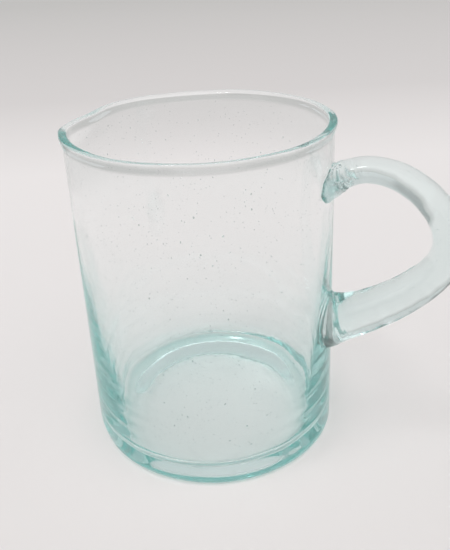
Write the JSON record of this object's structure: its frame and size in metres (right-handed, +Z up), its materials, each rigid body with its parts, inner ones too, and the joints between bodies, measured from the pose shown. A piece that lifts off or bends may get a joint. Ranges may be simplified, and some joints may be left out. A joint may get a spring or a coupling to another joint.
{
  "type": "glass pitcher",
  "caption": "Straight-sided hand-blown glass pitcher with a pulled pouring lip, a fire-polished rim and an applied looped handle.",
  "frame": {"origin": "middle of the flat resting face, on the axis of the body", "axes": "+Z up along the axis of the body, +X towards the handle, +Y across the handle"},
  "size_m": [0.1485, 0.1016, 0.13],
  "materials": {
    "body_glass": "clear, fire-polished, faint aqua tint",
    "handle_glass": "clear, fire-polished, faint aqua tint"
  },
  "bodies": {
    "root": {"blown_body": "body_glass", "applied_handle": "handle_glass"}
  },
  "joints": []
}
